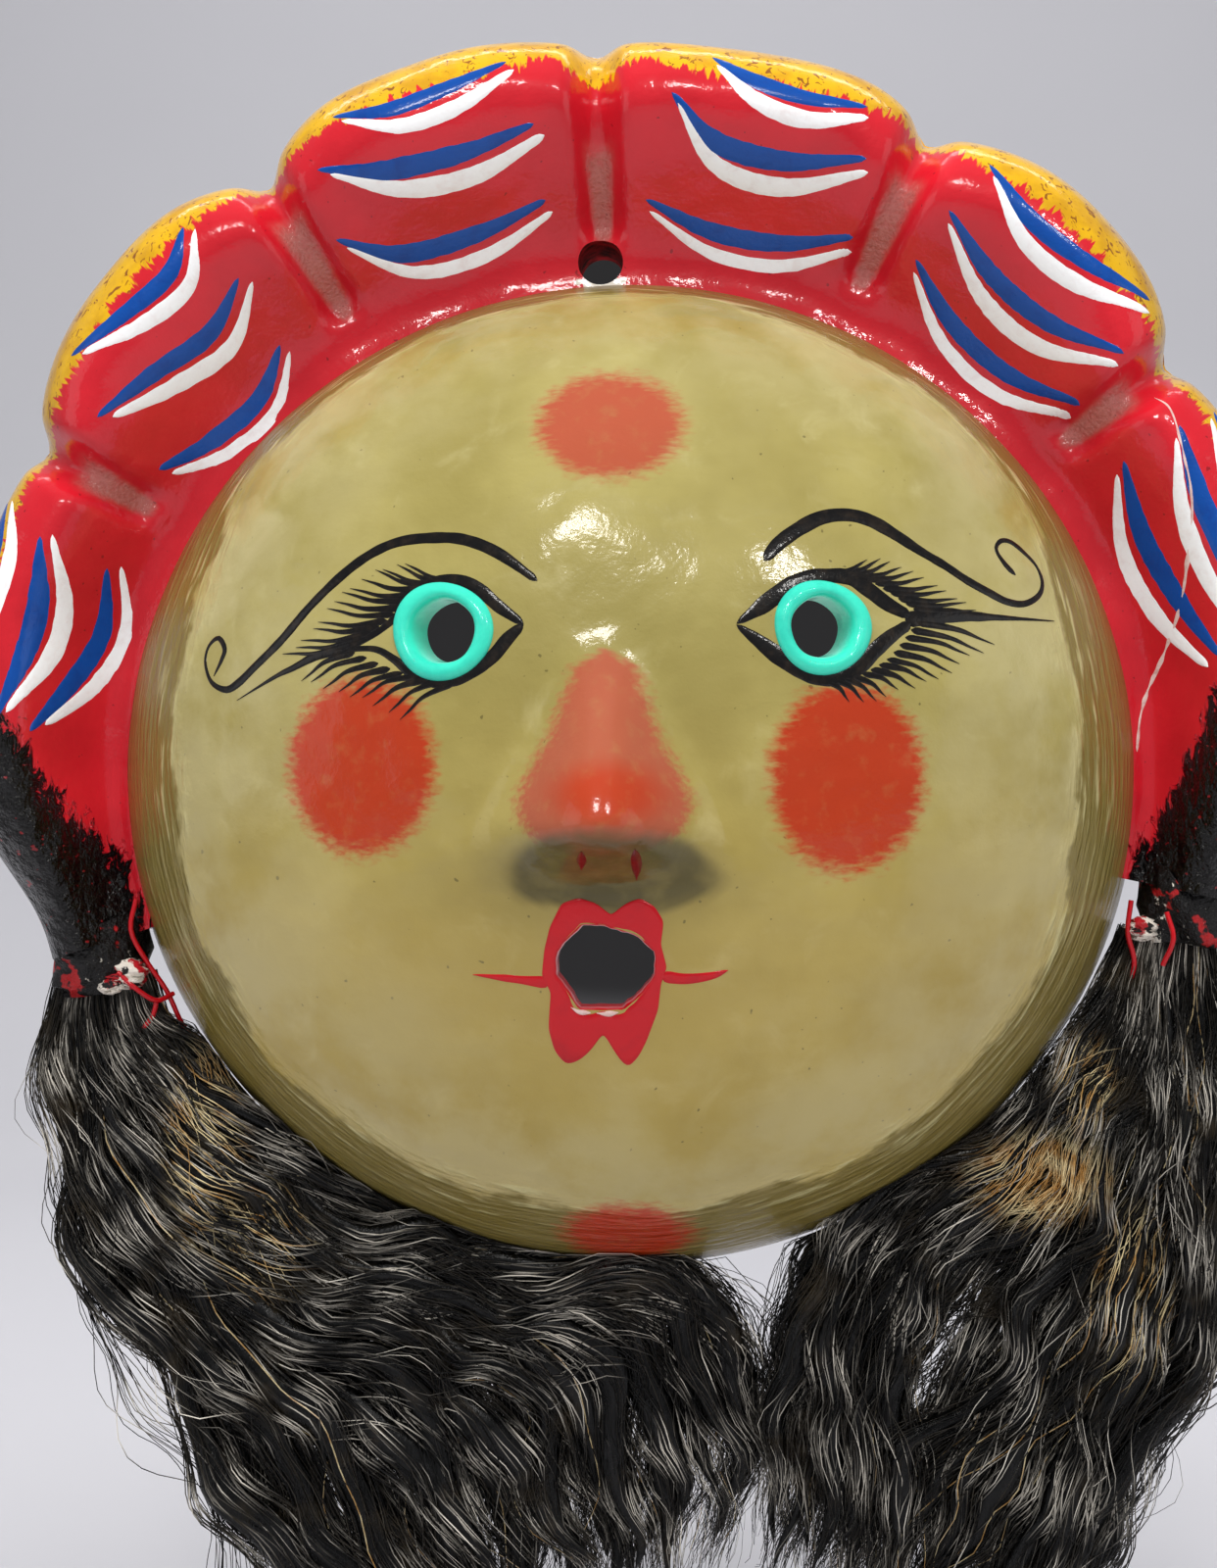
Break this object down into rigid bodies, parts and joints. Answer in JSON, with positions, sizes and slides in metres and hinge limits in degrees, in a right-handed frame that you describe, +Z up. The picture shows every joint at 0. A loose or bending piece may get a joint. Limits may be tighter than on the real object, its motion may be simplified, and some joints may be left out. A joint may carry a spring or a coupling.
{
  "type": "folk art mask",
  "caption": "Glossy painted round face mask, hollow behind, with a scalloped red headdress, pierced eyes and mouth, and hanks of long dark fibre hair.",
  "frame": {"origin": "middle of the hanging hole, on the plane of the wall the mask hangs on", "axes": "+Y into the wall, so the face looks along -Y; +Z up; +X to the viewer's right"},
  "size_m": [0.2555, 0.0797, 0.3272],
  "materials": {
    "olive_paint": "olive green enamel under a glossy varnish",
    "rouge_paint": "brick red over olive, glossy varnish",
    "red_paint": "red enamel with a yellow rim and blue and white strokes, glossy varnish",
    "turquoise_paint": "thick turquoise enamel, glossy",
    "black_paint": "black enamel over a lumpy paste, glossy, with chips to the white ground",
    "dyed_fibre": "long agave fibre dyed black, with paler strands",
    "thread": "undyed thread, daubed with red paint"
  },
  "bodies": {
    "mask": {"face_shell": "olive_paint", "nose": "rouge_paint", "headdress": "red_paint", "eye_ring_left": "turquoise_paint", "eye_ring_right": "turquoise_paint", "hair_socket_left": "black_paint", "hair_binding_left": "thread", "hair_root_left": "dyed_fibre", "hair_socket_right": "black_paint", "hair_binding_right": "thread", "hair_root_right": "dyed_fibre"},
    "hair_left": {"outer_tress_left": "dyed_fibre", "middle_tress_left": "dyed_fibre", "chin_tress_left": "dyed_fibre"},
    "hair_right": {"outer_tress_right": "dyed_fibre", "middle_tress_right": "dyed_fibre", "chin_tress_right": "dyed_fibre"}
  },
  "joints": [
    {"name": "left_hair_swing", "type": "hinge", "parent": "mask", "child": "hair_left", "pos_m": [-0.0975, -0.013, -0.151], "axis": [-1, 0, 0], "range_deg": [0, 50]},
    {"name": "right_hair_swing", "type": "hinge", "parent": "mask", "child": "hair_right", "pos_m": [0.112, -0.013, -0.139], "axis": [-1, 0, 0], "range_deg": [0, 50]}
  ]
}
